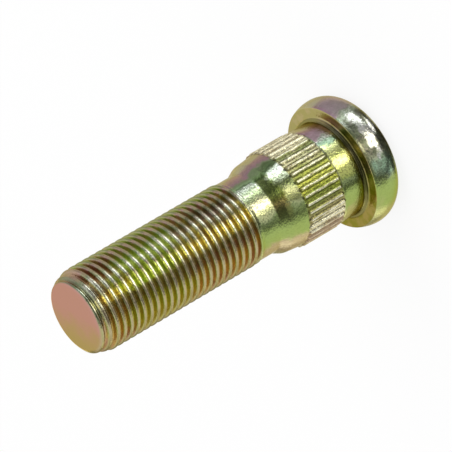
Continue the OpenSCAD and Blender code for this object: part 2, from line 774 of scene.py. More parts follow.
class RibTool(RollingTool):
    """Rolls the ring of ribs, each with a round back and finger-like ends."""

    def rule(self, weave: Weave, given: dict[str, Socket], place: Place) -> tuple[Socket, Socket]:
        """Raises each point to the back of the nearest rib.

        Args:
            weave: The tree's weave.
            given: The tree's input sockets by name.
            place: Where the point lies.

        Returns:
            The sockets of the new radius and of the nearness to the rib's spine from 0 to 1.
        """
        count, level, dice_start = given["Count"], place.level, 0.37
        turn = weave.math("DIVIDE", place.angle, 2 * math.pi)
        at = weave.plus(weave.times(turn, count), weave.plus(count, 0.5))
        number = weave.math("MODULO", weave.math("FLOOR", at), count)
        spacing = weave.math("DIVIDE", weave.times(place.radius, 2 * math.pi), count)
        side = weave.times(weave.minus(weave.math("FRACT", at), 0.5), spacing)
        dice = weave.node("ShaderNodeTexWhiteNoise", noise_dimensions="1D")
        weave.feed(dice.inputs["W"], weave.plus(number, dice_start))
        uneven = weave.times(weave.minus(dice.outputs["Value"], 0.5), given["Uneven ends"])
        half = weave.times(given["Width"], 0.5)
        below = weave.minus(weave.plus(given["Bottom"], uneven, half), level)
        above = weave.minus(level, weave.minus(given["Top"], half))
        past = weave.math("MAXIMUM", weave.math("MAXIMUM", above, below), 0.0)
        away = weave.plus(weave.times(side, side), weave.times(past, past))
        dome = weave.math("SQRT", weave.math("MAXIMUM", weave.minus(weave.times(half, half), away), 0.0))
        in_zone = weave.math("GREATER_THAN", dome, 0.0)
        back = weave.times(in_zone, weave.plus(weave.minus(given["Crest radius"], half), dome))
        reach = weave.math("DIVIDE", weave.math("SQRT", away), weave.times(spacing, 0.5))
        nearness = weave.math("SUBTRACT", 1.0, reach, clamp=True)
        return weave.math("MAXIMUM", place.radius, back), nearness


@dataclass(frozen=True)
class Stripe:
    """A stretch of the film's colours, and the tone that the plating takes there."""

    first: float
    last: float
    tone: Colour
    share: float = 1.0
    soft: float = 0.02
    blend: Blend = Blend.COVER


@dataclass
class Coat:
    """The plating's colour while its film is laid on, and the place of each point under it.

    The plain film's colours run twice round the bolt, in uneven patches. They are given as stops from 0 to 1
    over half a turn, with 0.5 towards the viewer; their pale stops are painted highlights.
    """

    weave: Weave
    facing: float
    stops: tuple[tuple[float, Colour], ...]
    spot: Socket = field(init=False)
    place: Place = field(init=False)
    along: Socket = field(init=False)
    colour: Tone = field(init=False)

    def __post_init__(self) -> None:
        """Lays the plain film."""
        weave = self.weave
        self.spot = weave.node("ShaderNodeTexCoord").outputs["Object"]
        self.place = weave.place(self.spot)
        turned = weave.math("DIVIDE", weave.minus(self.facing, self.place.angle), math.pi)
        patches = weave.plus(self.sway(4.0 * MM, 0.16), self.sway(0.9 * MM, 0.05, 3.0))
        self.along = weave.math("FRACT", weave.plus(turned, 0.5, patches))
        self.colour = weave.stops(self.along, self.stops)

    def cover(self, tone: Tone, *shares: Number) -> None:
        """Covers the colour with a tone, by the product of the shares."""
        self.colour = self.weave.mix(self.weave.times(*shares), self.colour, tone)

    def dye(self, tone: Tone, *shares: Number) -> None:
        """Multiplies the colour by a tone, by the product of the shares."""
        self.colour = self.weave.mix(self.weave.times(*shares), self.colour, tone, Blend.DYE)

    def paint(self, where: Number, *stripes: Stripe) -> None:
        """Paints stripes over the colour, as far as a share lets them be seen."""
        self.colour = self.painted(self.colour, stripes, where)

    def painted(self, colour: Tone, stripes: Iterable[Stripe], where: Number = 1.0) -> Tone:
        """Paints stripes over a colour.

        Args:
            colour: The colour under them.
            stripes: The stripes, the last of them on top.
            where: The share of them that is seen.

        Returns:
            The painted colour.
        """
        for stripe in stripes:
            stretch = self.around(stripe.first, stripe.last, stripe.soft)
            share = self.weave.times(where, stretch, stripe.share)
            colour = self.weave.mix(share, colour, stripe.tone, stripe.blend)
        return colour

    def around(self, first: float, last: float, soft: float = 0.02) -> Socket:
        """Marks a stretch of the film's colours round the bolt."""
        return self.weave.band(self.along, first, last, soft)

    def levels(self, low: float, high: float, soft: float) -> Socket:
        """Marks a stretch of the bolt's height."""
        return self.weave.band(self.place.level, low, high, soft)

    def rise(self, low: float, high: float) -> Socket:
        """Eases from 0 at one level of the bolt to 1 at another."""
        return self.weave.ramp_between(self.place.level, low, high)

    def form(self, attribute: str) -> Socket:
        """Reads the depth that a rolling tool has left in the skin."""
        return self.weave.node("ShaderNodeAttribute", attribute_name=attribute).outputs["Fac"]

    def noise(self, size: float, detail: float = 3.0, roughness: float = 0.5) -> Socket:
        """Adds a noise that is fixed to the bolt."""
        return self.weave.noise(self.spot, size, detail, roughness)

    def sway(self, size: float, reach: float, detail: float = 2.0, roughness: float = 0.5) -> Socket:
        """Adds a noise about nought, up to half a reach to either side."""
        return self.weave.times(self.weave.minus(self.noise(size, detail, roughness), 0.5), reach)

    def patch(
        self, size: float, low: float, high: float, detail: float = 3.0, roughness: float = 0.5
    ) -> Socket:
        """Marks patches, where a noise rises from a low to a high value."""
        return self.weave.ramp_between(self.noise(size, detail, roughness), low, high)

    def across(self, turn: float) -> Socket:
        """Gives the distance from the axis along one level direction.

        Args:
            turn: Angle of the direction, clockwise from the viewer's, in radians.

        Returns:
            The signed distance.
        """
        lean = self.weave.node("ShaderNodeVectorMath", operation="DOT_PRODUCT")
        self.weave.feed(lean.inputs[0], self.spot)
        lean.inputs[1].default_value = (math.cos(self.facing - turn), math.sin(self.facing - turn), 0.0)
        return lean.outputs["Value"]


@dataclass(frozen=True)
class Film(ABC):
    """The film on one part of the bolt."""

    sizes: BoltSizes

    @abstractmethod
    def lay(self, coat: Coat) -> None:
        """Lays the film on that part.

        Args:
            coat: The coat so far.
        """


@dataclass(frozen=True)
class ThreadFilm(Film):
    """The film on the thread: crests worn to tan and brown, with painted highlights and shade, and a groove
    of olive, gold, lime and brown, with painted light where it faces the viewer.
    """

    crest_tones: tuple[Colour, Colour] = ((0.48, 0.36, 0.20), (0.60, 0.46, 0.34))
    # Tones of the crests, with painted highlights where the cool and warm lamps are mirrored (0.335 to 0.54)
    # and painted shade beside the cool one (0.27 to 0.325).
    crest_stripes: tuple[Stripe, ...] = (
        Stripe(BEFORE, 0.17, (0.20, 0.26, 0.10), soft=0.05),
        Stripe(0.81, AFTER, (0.28, 0.20, 0.09), soft=0.05),
        Stripe(0.27, 0.325, (0.33, 0.31, 0.20)),
        Stripe(0.55, 0.65, (0.46, 0.34, 0.24), soft=0.03),
        Stripe(0.335, 0.42, (0.80, 0.77, 0.68)),
        Stripe(0.45, 0.54, (1.0, 0.98, 0.74)),
    )
    olive: Colour = (0.38, 0.42, 0.04)
    gold_and_brown: tuple[Colour, Colour] = ((0.46, 0.34, 0.08), (0.34, 0.19, 0.11))
    groove_stripes: tuple[Stripe, ...] = (
        Stripe(BEFORE, 0.16, (0.25, 0.31, 0.06), soft=0.04),
        Stripe(0.545, 0.62, (0.34, 0.26, 0.10), 0.8),
        Stripe(0.61, AFTER, (1.12, 0.88, 0.95), soft=0.03, blend=Blend.DYE),
    )
    tip_brown: Stripe = Stripe(0.08, 0.33, (0.28, 0.14, 0.08), 0.8, 0.03)
    lit_gold: tuple[Colour, Colour] = ((0.44, 0.34, 0.07), (0.28, 0.19, 0.05))
    lit_lime: tuple[Colour, Colour] = ((0.42, 0.52, 0.06), (0.25, 0.30, 0.04))
    # Painted highlights on the flanks that face the viewer.
    flank_gold: Colour = (1.0, 0.91, 0.42)
    flank_lime: Colour = (0.96, 1.0, 0.46)
    neck_shade: Stripe = Stripe(0.26, 0.35, (0.58, 0.53, 0.52), blend=Blend.DYE)
    lead_in_tan: Stripe = Stripe(BEFORE, 0.20, (0.50, 0.33, 0.26), 0.7, 0.04)

    def lay(self, coat: Coat) -> None:
        """Wears the crests, with painted highlights and shade, paints highlights on the flanks that face the
        viewer and darkens the groove.

        Args:
            coat: The coat so far.
        """
        weave, s = coat.weave, self.sizes
        groove = coat.form("groove")
        thread = coat.levels(s.thread_bottom + 0.1 * MM, s.height - 0.4 * MM, 0.15 * MM)
        lit = coat.around(0.44, 0.53)
        swelling = weave.plus(coat.place.level, coat.sway(4.0 * MM, 14.0 * MM))
        green = weave.band(swelling, s.thread_top - 17.0 * MM, s.thread_top - 4.0 * MM, 2.5 * MM)
        near_tip = weave.ramp_between(swelling, s.thread_top - 7.5 * MM, s.thread_top - 4.5 * MM)
        deep = self.groove(coat, green, near_tip, lit)
        crest = coat.painted(weave.mix(coat.noise(2.5 * MM), *self.crest_tones), self.crest_stripes)
        back = weave.minus(1.0, weave.ramp_between(groove, 0.04, 0.30))
        coat.cover(crest, thread, back, 0.75)
        # Painted highlight on the flanks that face the viewer, where they mirror the warm lamp.
        flank = weave.times(weave.band(groove, 0.06, 0.60, 0.04), lit, thread)
        coat.cover(weave.mix(green, self.flank_gold, self.flank_lime), flank)
        start = weave.plus(0.12, weave.times(lit, 0.22))
        coat.cover(deep, weave.ramp_between(groove, start, weave.plus(start, 0.38)), thread)
        near_neck = weave.times(coat.rise(s.thread_top - 16.0 * MM, s.thread_top - 21.0 * MM), thread)
        coat.paint(near_neck, self.neck_shade)
        lead_in = coat.rise(s.thread_top - 1.0 * MM, s.thread_top + 0.5 * MM)
        coat.paint(lead_in, self.lead_in_tan)

    def groove(self, coat: Coat, green: Socket, near_tip: Socket, lit: Socket) -> Tone:
        """Colours the groove, with painted light where it faces the viewer.

        Args:
            coat: The coat so far.
            green: One where the thread is green, short of the tip.
            near_tip: One on its last turns at the tip.
            lit: One where it faces the viewer.

        Returns:
            The groove's colour.
        """
        weave = coat.weave
        patch = coat.patch(5.0 * MM, 0.42, 0.60, 2.0)
        deep = weave.mix(green, weave.mix(patch, *self.gold_and_brown), self.olive)
        deep = coat.painted(weave.mix(0.3, deep, coat.colour), self.groove_stripes)
        deep = coat.painted(deep, [self.tip_brown], near_tip)
        # Painted light: where the groove faces the viewer it takes plain gold or lime instead of its duller
        # stripes.
        shine = weave.mix(green, weave.mix(patch, *self.lit_gold), weave.mix(patch, *self.lit_lime))
        return weave.mix(lit, deep, shine)


@dataclass(frozen=True)
class RibFilm(Film):
    """The film on the ribbed seat: a yellow floor with painted light towards the viewer, dark specks of grime
    and painted shade at the ribs' feet, and light, worn backs with painted highlights in two narrow
    stretches.
    """

    floor: Colour = (0.82, 0.70, 0.46)
    # The floor's tones: yellow-green towards the viewer, with a paler stretch from 0.52 to 0.60 that is
    # painted light.
    floor_stripes: tuple[Stripe, ...] = (
        Stripe(0.42, 0.62, (0.60, 0.64, 0.14), soft=0.05),
        Stripe(0.52, 0.60, (0.86, 0.86, 0.22), soft=0.03),
    )
    edge_tan: Colour = (0.54, 0.46, 0.24)
    far_tan: Stripe = Stripe(BEFORE, 0.185, (0.78, 0.70, 0.48), soft=0.015)
    # Painted highlights on the floor and on the ribs' backs, in two narrow stretches to either side.
    bright_floor: Colour = (1.0, 0.95, 0.66)
    bright_back: Colour = (1.0, 0.96, 0.72)
    # Dark specks at the ribs' feet: part grime, part painted shade in the creases.
    dirt: Colour = (0.06, 0.045, 0.015)
    back_tones: tuple[Colour, Colour] = ((0.40, 0.34, 0.20), (1.0, 0.98, 0.76))
    wear_stretch: tuple[float, float, float] = (1.0, 1.0, 0.3)

    def lay(self, coat: Coat) -> None:
        """Yellows the floor between the ribs, with painted light, darkens their feet with grime and painted
        shade, and wears their backs, with painted highlights.

        Args:
            coat: The coat so far.
        """
        weave, s = coat.weave, self.sizes
        rib = coat.form("rib")
        seat = coat.levels(s.seat_bottom, s.seat_top, 0.15 * MM)
        coat.dye(coat.painted(self.floor, self.floor_stripes), seat, 0.9)
        edge = weave.minus(1.0, coat.around(0.26, 0.68, 0.05))
        coat.cover(self.edge_tan, edge, seat, 0.7)
        coat.paint(seat, self.far_tan)
        # Painted highlights in two narrow stretches to either side of the viewer.
        bright = weave.plus(coat.around(0.19, 0.25, 0.012), coat.around(0.745, 0.815, 0.012))
        coat.cover(self.bright_floor, bright, seat, 0.9)
        # The dark specks at the feet, grime and painted shade, are thickest towards the viewer.
        deep = weave.plus(0.45, weave.times(coat.around(0.20, 0.80, 0.05), 0.32))
        foot = weave.band(rib, 0.24, 0.54, 0.08)
        coat.cover(self.dirt, foot, coat.patch(0.35 * MM, 0.30, 0.54, 2.0), deep)
        streak = weave.node("ShaderNodeVectorMath", operation="MULTIPLY")
        weave.feed(streak.inputs[0], coat.spot)
        weave.feed(streak.inputs[1], self.wear_stretch)
        wear = weave.ramp_between(weave.noise(streak.outputs[0], 0.5 * MM, 3.0, 0.7), 0.34, 0.56)
        # The ribs' backs: worn tones, with painted highlights in the two narrow stretches.
        back = weave.mix(weave.times(bright, 0.85), weave.mix(wear, *self.back_tones), self.bright_back)
        worn = weave.math("ADD", weave.ramp_between(rib, 0.62, 0.86), weave.times(bright, 0.3), clamp=True)
        coat.cover(back, worn, weave.ramp_between(rib, 0.50, 0.62), seat, 0.85)


@dataclass(frozen=True)
class TipFilm(Film):
    """The film on the tip: a flat end from dusty pink to gold, and a rounding in rings of painted shade, dark
    green turning tan on the far side, with a painted glint between them.
    """

    green_and_tan: tuple[Colour, Colour] = ((0.20, 0.25, 0.15), (0.52, 0.37, 0.24))
    glint: Stripe = Stripe(0.44, 0.54, (1.0, 0.97, 0.70))
    pink_and_gold: tuple[Colour, Colour] = ((0.56, 0.29, 0.24), (0.46, 0.34, 0.14))
    pink_turn: float = 2.2

    def lay(self, coat: Coat) -> None:
        """Paints shade in two rings of the rounding, dark green turning tan, a highlight as a glint between
        them, and colours the flat end.

        Args:
            coat: The coat so far.
        """
        weave, top = coat.weave, self.sizes.height
        over = coat.rise(top - 0.42 * MM, top - 0.28 * MM)
        under = coat.levels(top - 1.25 * MM, top - 0.75 * MM, 0.08 * MM)
        side = weave.ramp_between(coat.along, 0.56, 0.70)
        # Painted shade: two dark green rings on the rounding, either side of the glint, turning tan on the
        # far side.
        rings = weave.times(weave.math("ADD", over, under, clamp=True), 0.7)
        coat.cover(weave.mix(side, *self.green_and_tan), rings)
        # Painted highlight: the glint on the rounding, where it faces the viewer.
        middle = coat.levels(top - 0.75 * MM, top - 0.40 * MM, 0.08 * MM)
        coat.paint(middle, self.glint)
        across = weave.plus(coat.across(self.pink_turn), coat.sway(4.0 * MM, 6.0 * MM, 3.0))
        gold = weave.ramp_between(across, -1.5 * MM, 5.0 * MM)
        coat.cover(weave.mix(gold, *self.pink_and_gold), coat.rise(top - 0.25 * MM, top - 0.02 * MM))


@dataclass(frozen=True)
class HeadFilm(Film):
    """The film on the collar and on the side of the head: lilac, green, gold and grey, with painted shade, a
    painted blue-green sheen and painted highlight patches.
    """

    mauve_tones: tuple[Colour, Colour] = ((0.34, 0.20, 0.26), (0.70, 0.48, 0.58))
    # Painted shade over the collar's cool highlight (0.32 to 0.40), then its green and gold.
    collar_stripes: tuple[Stripe, ...] = (
        Stripe(0.32, 0.40, (0.16, 0.24, 0.16), 0.92),
        Stripe(0.375, 0.435, (0.92, 0.96, 0.42)),
        Stripe(0.43, 0.60, (0.88, 0.90, 0.54), soft=0.03, blend=Blend.DYE),
    )
    grey_tones: tuple[Colour, Colour] = ((0.32, 0.38, 0.28), (0.46, 0.40, 0.42))
    # Painted sheen, blue-green, on the side of the head.
    teal: Stripe = Stripe(0.56, 0.64, (0.36, 0.58, 0.40), 0.7, 0.03)
    # Tones of the painted shade on the side of the head.
    lamp_tones: tuple[Colour, Colour] = ((0.16, 0.15, 0.12), (0.05, 0.06, 0.02))
    mottle: Colour = (0.17, 0.19, 0.13)
    clean: Colour = (0.93, 0.92, 0.88)
    # Each painted highlight patch: its lowest and highest level, its first and last place in the colours, its
    # share.
    clean_patches: tuple[tuple[float, float, float, float, float], ...] = (
        (3.2 * MM, 5.0 * MM, 0.305, 0.355, 0.9),
        (2.3 * MM, 4.6 * MM, 0.440, 0.498, 1.0),
        (3.1 * MM, 4.2 * MM, 0.490, 0.560, 0.9),
        (3.2 * MM, 4.7 * MM, 0.355, 0.445, 0.9),
        (1.0 * MM, 2.6 * MM, 0.400, 0.450, 0.8),
    )

    def lay(self, coat: Coat) -> None:
        """Colours the collar, with painted shade on its cool highlight, and greys the head with mottled
        painted shade, darkest where it mirrors the lamps, but for painted highlight patches.

        Args:
            coat: The coat so far.
        """
        weave, s = coat.weave, self.sizes
        below = coat.rise(s.seat_bottom, s.seat_bottom - 0.4 * MM)
        collar = weave.times(below, coat.rise(s.head_height, s.head_height + 1.0 * MM))
        further = weave.minus(coat.along, weave.times(collar, 0.03))
        lilac = weave.times(weave.band(further, 0.165, 0.28, 0.02), below, 0.85)
        coat.cover(weave.mix(coat.noise(1.2 * MM), *self.mauve_tones), lilac)
        coat.paint(collar, *self.collar_stripes)
        side = coat.rise(s.head_height - 0.2 * MM, s.head_height - 0.8 * MM)
        greyed = weave.ramp_between(coat.along, 0.70, 0.60)
        coat.cover(weave.mix(coat.noise(3.0 * MM, 2.0), *self.grey_tones), side, greyed, 0.4)
        coat.paint(side, self.teal)
        # Mottled painted shade where the side of the head mirrors the lamps, and across the side towards the
        # viewer.
        mottle = coat.patch(0.8 * MM, 0.42, 0.60, 3.0, 0.65)
        lamps = weave.plus(coat.around(0.30, 0.385), coat.around(0.44, 0.53))
        coat.cover(weave.mix(mottle, *self.lamp_tones), side, lamps, 0.85)
        coat.cover(self.mottle, side, coat.around(0.27, 0.67, 0.05), mottle, 0.55)
        # Painted highlights in the ragged patches.
        coat.cover(self.clean, side, self.patches(coat))

    def patches(self, coat: Coat) -> Number:
        """Finds the ragged patches on the side of the head where highlights are painted.

        Args:
            coat: The coat so far.

        Returns:
            Up to one inside the patches, nought outside them.
        """
        weave = coat.weave
        sway = coat.sway(1.2 * MM, 1.0, 3.0, 0.6)
        level = weave.plus(coat.place.level, weave.times(sway, 3.0 * MM))
        along = weave.plus(coat.along, weave.times(sway, 0.12))
        found: Number = 0.0
        for low, high, first, last, share in self.clean_patches:
            height, width = weave.band(level, low, high, 0.5 * MM), weave.band(along, first, last, 0.02)
            found = weave.math("MAXIMUM", found, weave.times(height, width, share))
        return found


@dataclass(frozen=True)
class ShankFilm(Film):
    """The film between the ribs and the thread: a cone darkened olive, a shoulder dimmed and a neck shaded,
    all by painted shade.
    """

    # Painted shade: the cone darkened olive, most where it would mirror the lamps.
    cone_tones: tuple[Colour, Colour] = ((0.56, 0.62, 0.34), (0.66, 0.54, 0.38))
    cone_stripes: tuple[Stripe, ...] = (
        Stripe(0.28, 0.37, (0.26, 0.28, 0.16), 0.86, 0.03, Blend.DYE),
        Stripe(0.445, 0.515, (0.26, 0.28, 0.16), 0.86, 0.03, Blend.DYE),
    )
    # Painted shade at the outer edge of the cool highlight and on the far side.
    whole_stripes: tuple[Stripe, ...] = (
        Stripe(0.286, 0.304, (0.24, 0.32, 0.20), 0.75, 0.012, Blend.DYE),
        Stripe(0.59, 0.645, (0.74, 0.78, 0.64), blend=Blend.DYE),
    )
    dimmed: Colour = (0.34, 0.36, 0.27)
    # Each stretch of the shoulder dimmed by painted shade: its first and last place in the colours, its
    # share.
    dimmed_stretches: tuple[tuple[float, float, float], ...] = (
        (0.39, 0.435, 0.92),
        (0.50, 0.56, 0.92),
        (0.24, 0.31, 0.8),
        (0.44, 0.50, 0.9),
    )
    neck_shade: Stripe = Stripe(0.32, 0.37, (0.50, 0.53, 0.45), blend=Blend.DYE)
    pinkish: Stripe = Stripe(0.82, 0.97, (0.54, 0.35, 0.28), 0.5, 0.03)

    def lay(self, coat: Coat) -> None:
        """Paints shade on the cone behind a ragged edge, then on the shoulder and neck, and tints one side
        pinkish.

        Args:
            coat: The coat so far.
        """
        weave, s = coat.weave, self.sizes
        soft = 0.2 * MM
        ragged = coat.sway(0.9 * MM, 2.4 * MM, 3.0, 0.6)
        shifted = weave.times(weave.ramp_between(coat.along, 0.37, 0.45), 0.8 * MM)
        edge = weave.plus(coat.place.level, ragged, shifted)
        cone = weave.ramp_between(edge, s.shoulder_top - 0.4 * MM, s.shoulder_top + 0.5 * MM)
        cone = weave.times(cone, coat.rise(s.cone_top + 0.1 * MM, s.cone_top - 0.4 * MM))
        warm = weave.ramp_between(coat.along, 0.46, 0.54)
        coat.dye(weave.mix(warm, *self.cone_tones), cone, coat.around(0.27, 0.63, 0.06))
        coat.paint(cone, *self.cone_stripes)
        whole = coat.levels(s.seat_top, s.neck_top, soft)
        coat.paint(whole, *self.whole_stripes)
        stretches = [weave.times(coat.around(*ends), share) for *ends, share in self.dimmed_stretches]
        coat.dye(self.dimmed, coat.levels(s.seat_top, s.shoulder_top, soft), weave.plus(*stretches))
        neck_end = coat.rise(s.neck_top, s.neck_top - 0.3 * MM)
        neck = weave.times(coat.rise(s.cone_top, s.cone_top + 0.4 * MM), neck_end)
        coat.paint(neck, self.neck_shade)
        coat.paint(coat.levels(s.seat_bottom, s.neck_top, soft), self.pinkish)


@dataclass(frozen=True)
class Specks(Film):
    """Fine dark specks of the plating all over but on the flat end of the tip; thickest towards the viewer,
    where they add painted shade that breaks up the highlights.
    """

    tone: Colour = (0.30, 0.33, 0.22)
    least: float = 0.10
    added: float = 0.42

    def lay(self, coat: Coat) -> None:
        """Leaves the specks.

        Args:
            coat: The coat so far.
        """
        weave, top = coat.weave, self.sizes.height
        thick = weave.plus(self.least, weave.times(coat.around(0.29, 0.61, 0.03), self.added))
        specks = coat.patch(0.36 * MM, 0.50, 0.62, 2.0, 0.6)
        coat.dye(self.tone, specks, coat.rise(top - 0.02 * MM, top - 0.3 * MM), thick)


@dataclass(frozen=True)
class FaceFilm(Film):
    """The film on the bearing face of the head, golden ochre with painted light to one side and painted shade
    to the other, and on the fillet above it, brown deepened by painted shade towards the viewer.
    """

    ochre_tones: tuple[Colour, Colour] = ((0.36, 0.34, 0.08), (0.52, 0.41, 0.20))
    light_ochre: Colour = (0.56, 0.48, 0.25)
    dark_dye: Colour = (0.72, 0.70, 0.42)
    fillet_tones: tuple[Colour, Colour] = ((0.22, 0.20, 0.07), (0.05, 0.04, 0.012))

    def lay(self, coat: Coat) -> None:
        """Colours the face, with painted light to one side of the viewer and painted shade to the other, and
        the fillet, with painted shade.

        Args:
            coat: The coat so far.
        """
        weave, s = coat.weave, self.sizes
        ochre = weave.mix(coat.patch(2.2 * MM, 0.38, 0.62), *self.ochre_tones)
        across = coat.across(math.pi / 2)
        # Painted light on one side of the face, painted shade on the other.
        lighter = weave.times(weave.ramp_between(across, -5.0 * MM, -9.0 * MM), 0.5)
        ochre = weave.mix(lighter, ochre, self.light_ochre)
        darker = weave.ramp_between(across, 4.0 * MM, 8.0 * MM)
        ochre = weave.mix(darker, ochre, self.dark_dye, Blend.DYE)
        flat = coat.levels(s.head_height - 0.06 * MM, s.head_height + 0.06 * MM, 0.03 * MM)
        fillet_radius = s.collar_radius + s.collar_fillet
        outer = weave.ramp_between(coat.place.radius, fillet_radius, fillet_radius + 0.2 * MM)
        coat.cover(ochre, flat, outer)
        fillet = coat.levels(s.head_height + 0.03 * MM, s.head_height + 0.75 * MM, 0.08 * MM)
        # Painted shade in the fillet, deepest towards the viewer.
        brown = weave.mix(coat.around(0.27, 0.80, 0.07), *self.fillet_tones)
        coat.cover(brown, fillet, 0.9)


@dataclass(frozen=True)
class YellowZinc:
    """Yellow-zinc plating: bright metal under a thin film that turns gold, green and pink round the bolt,
    with painted highlights and shade laid into its colour.
    """

    facing: float
    sizes: BoltSizes
    # The film's colours round the bolt, with 0.5 towards the viewer; the pale stops at 0.325 and 0.48 are
    # painted highlights where the cool and warm lamps are mirrored.
    stops: tuple[tuple[float, Colour], ...] = (
        (0.00, (0.54, 0.52, 0.32)),
        (0.09, (0.46, 0.42, 0.28)),
        (0.155, (0.42, 0.28, 0.27)),
        (0.20, (0.44, 0.28, 0.31)),
        (0.24, (0.28, 0.36, 0.20)),
        (0.28, (0.34, 0.48, 0.26)),
        (0.325, (0.76, 0.82, 0.72)),
        (0.37, (0.62, 0.70, 0.48)),
        (0.42, (0.50, 0.58, 0.30)),
        (0.48, (0.88, 0.87, 0.56)),
        (0.53, (0.66, 0.68, 0.36)),
        (0.60, (0.38, 0.46, 0.22)),
        (0.68, (0.36, 0.47, 0.14)),
        (0.76, (0.36, 0.46, 0.13)),
        (0.86, (0.48, 0.47, 0.20)),
        (1.00, (0.54, 0.52, 0.32)),
    )
    edge_colour: Colour = (0.72, 0.64, 0.38)
    gloss: float = 0.07
    thread_dullness: float = 0.10
    patch_dullness: float = 0.14
    bump_height: float = 0.22 * MM
    bump_share: float = 0.42
    seat_bump: float = 0.70
    tip_smoothing: float = 0.22
    thread_smoothing: float = 0.05
    head_smoothing: float = 0.14

    def build(self) -> bpy.types.Material:
        """Makes the material.

        Returns:
            The plating's material.
        """
        material, weave = bare_material("yellow_zinc_plating")
        coat = Coat(weave, self.facing, self.stops)
        for film in (ThreadFilm, RibFilm, TipFilm, HeadFilm, ShankFilm, Specks, FaceFilm):
            film(self.sizes).lay(coat)
        metal = weave.node("ShaderNodeBsdfPrincipled")
        metal.inputs["Metallic"].default_value = 1.0
        metal.inputs["Specular Tint"].default_value = (*self.edge_colour, 1.0)
        weave.feed(metal.inputs["Base Color"], coat.colour)
        weave.feed(metal.inputs["Roughness"], self.roughness(coat))
        weave.feed(metal.inputs["Normal"], self.grain(coat))
        weave.feed(weave.node("ShaderNodeOutputMaterial").inputs["Surface"], metal.outputs[0])
        return material

    def roughness(self, coat: Coat) -> Socket:
        """Varies the gloss in fine patches, duller on the thread.

        Args:
            coat: The finished coat.

        Returns:
            The roughness.
        """
        weave, s = coat.weave, self.sizes
        thread = coat.levels(s.thread_bottom, s.height - 0.5 * MM, 0.1 * MM)
        patches = weave.times(coat.noise(1.2 * MM, 4.0, 0.6), self.patch_dullness)
        return weave.plus(self.gloss, weave.times(thread, self.thread_dullness), patches)

    def grain(self, coat: Coat) -> Socket:
        """Gives the pickled grain under the plating, which breaks up the highlights.

        Args:
            coat: The finished coat.

        Returns:
            The bumped normal.
        """
        weave, s = coat.weave, self.sizes
        coarse, fine = coat.noise(1.0 * MM, 2.0), coat.noise(0.36 * MM, 2.0, 0.7)
        strength: Number = self.bump_share
        for zone, less in (
            (coat.rise(s.height - 0.3 * MM, s.height - 0.05 * MM), self.tip_smoothing),
            (coat.levels(s.thread_bottom, s.height, 0.1 * MM), self.thread_smoothing),
            (coat.rise(s.seat_bottom, s.seat_bottom - 0.3 * MM), self.head_smoothing),
        ):
            strength = weave.minus(strength, weave.times(zone, less))
        seat = coat.levels(s.seat_bottom, s.seat_top + 0.1 * MM, 0.2 * MM)
        bump = weave.node("ShaderNodeBump")
        bump.inputs["Distance"].default_value = self.bump_height
        weave.feed(bump.inputs["Strength"], weave.plus(strength, weave.times(seat, self.seat_bump)))
        weave.feed(bump.inputs["Height"], weave.plus(weave.times(coarse, 0.30), weave.times(fine, 0.70)))
        return bump.outputs[0]


@dataclass
class WheelBolt:
    """The bolt's whole visible skin."""

    sizes: BoltSizes
    facing: float
    thread_depth: float = 0.88 * MM
    thread_start_turn: float = -0.25
    run_out: float = 0.4 * MM
    run_in: float = 3.5 * MM
    run_in_curve: float = 1.6
    crest_part: float = 0.82
    root_part: float = 0.10
    uneven_ends: float = 0.3 * MM

    def build(self) -> bpy.types.Object:
        """Turns the blank, rolls the thread and the ribs, and dresses the result.

        Returns:
            The finished piece.
        """
        s = self.sizes
        finish = YellowZinc(self.facing, s).build()
        piece = TurnedBlank(s, self.thread_start_turn).build()
        thread = {
            "Pitch": s.pitch,
            "Radius": s.thread_radius,
            "Depth": self.thread_depth,
            "Bottom": s.thread_bottom,
            "Top": s.thread_top,
            "Run-out": self.run_out,
            "Run-in": self.run_in,
            "Run-in curve": self.run_in_curve,
            "Crest part": self.crest_part,
            "Root part": self.root_part,
            "Start turn": self.thread_start_turn,
        }
        ribs = {
            "Count": float(s.rib_count),
            "Width": s.rib_width,
            "Crest radius": s.rib_crest_radius,
            "Bottom": s.seat_bottom,
            "Top": s.seat_top,
            "Uneven ends": self.uneven_ends,
        }
        ThreadTool("rolled_thread", "groove", thread).roll(piece, finish)
        RibTool("rolled_ribs", "rib", ribs).roll(piece, finish)
        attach(piece, "root")
        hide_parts("wheel_bolt")
        return piece


@dataclass(frozen=True)
class Card:
    """A card of the studio, part of a sphere about the bolt's foot, that only reflections see."""

    name: str
    first: float
    last: float
    low: float
    high: float
    level: float
    colour: Colour = WHITE
    distance: float = 1.6
    columns: int = 24
    rows: int = 8

    def build(self, front: float) -> None:
        """Makes the card.

        Args:
            front: The camera's azimuth in degrees, from which the card's own is counted.
        """
        points = []
        for j in range(self.rows + 1):
            rise = math.radians(self.low + (self.high - self.low) * j / self.rows)
            for i in range(self.columns + 1):
                turn = math.radians(front + self.first + (self.last - self.first) * i / self.columns)
                out = self.distance * math.cos(rise)
                points.append((out * math.cos(turn), out * math.sin(turn), self.distance * math.sin(rise)))
        step = self.columns + 1
        starts = [j * step + i for j in range(self.rows) for i in range(self.columns)]
        data = bpy.data.meshes.new(self.name)
        data.from_pydata(points, [], [(k, k + step, k + step + 1, k + 1) for k in starts])
        material, weave = bare_material(self.name)
        glow = weave.node("ShaderNodeEmission")
        glow.inputs["Color"].default_value = (*self.colour, 1.0)
        glow.inputs["Strength"].default_value = self.level
        weave.feed(weave.node("ShaderNodeOutputMaterial").inputs["Surface"], glow.outputs[0])
        material.cycles.emission_sampling = "NONE"
        data.materials.append(material)
        card = linked_object(self.name, data)
        for ray in ("camera", "diffuse", "shadow", "transmission"):
            setattr(card, f"visible_{ray}", False)


